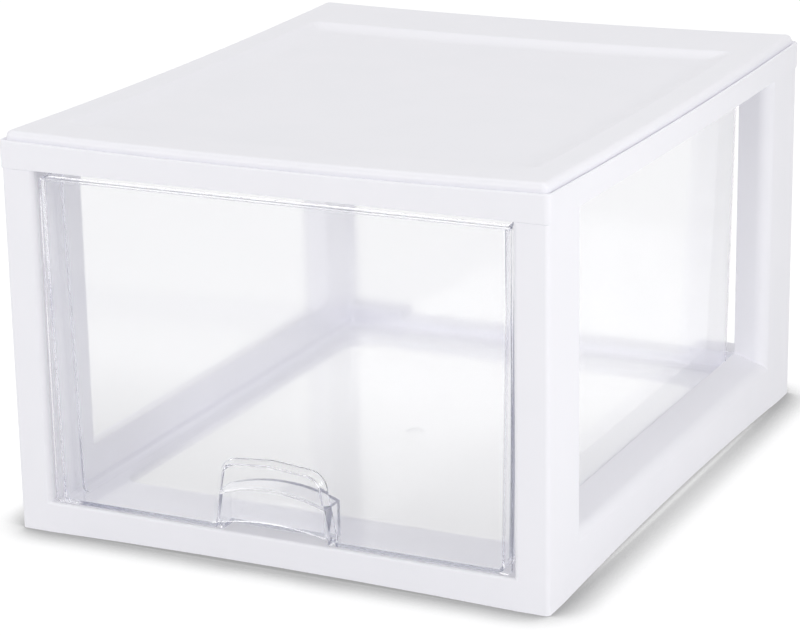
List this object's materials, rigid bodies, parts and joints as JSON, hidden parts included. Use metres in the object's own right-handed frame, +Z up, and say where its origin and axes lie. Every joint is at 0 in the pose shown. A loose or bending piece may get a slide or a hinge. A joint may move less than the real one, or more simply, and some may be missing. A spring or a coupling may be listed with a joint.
{
  "type": "stackable drawer box",
  "caption": "Stackable storage box for craft supplies and small parts: an open frame on corner posts with a recessed cover, and a clear drawer that slides out by a moulded finger pull.",
  "frame": {"origin": "centre of the bounding box's bottom face, on the surface that the box stands on", "axes": "+Z up, +X to the right seen from the front, +Y to the back; the drawer opens along -Y"},
  "size_m": [0.365, 0.4457, 0.26],
  "materials": {
    "body_plastic": "satin white moulding",
    "cover_plastic": "satin white moulding",
    "clear_plastic": "clear, smooth, slightly cool"
  },
  "bodies": {
    "frame": {"frame_body": "body_plastic", "top_cover": "cover_plastic"},
    "drawer": {"drawer": "clear_plastic"}
  },
  "joints": [
    {"name": "drawer_slide", "type": "slide", "parent": "frame", "child": "drawer", "axis": [0, -1, 0], "range_m": [0, 0.38]}
  ]
}
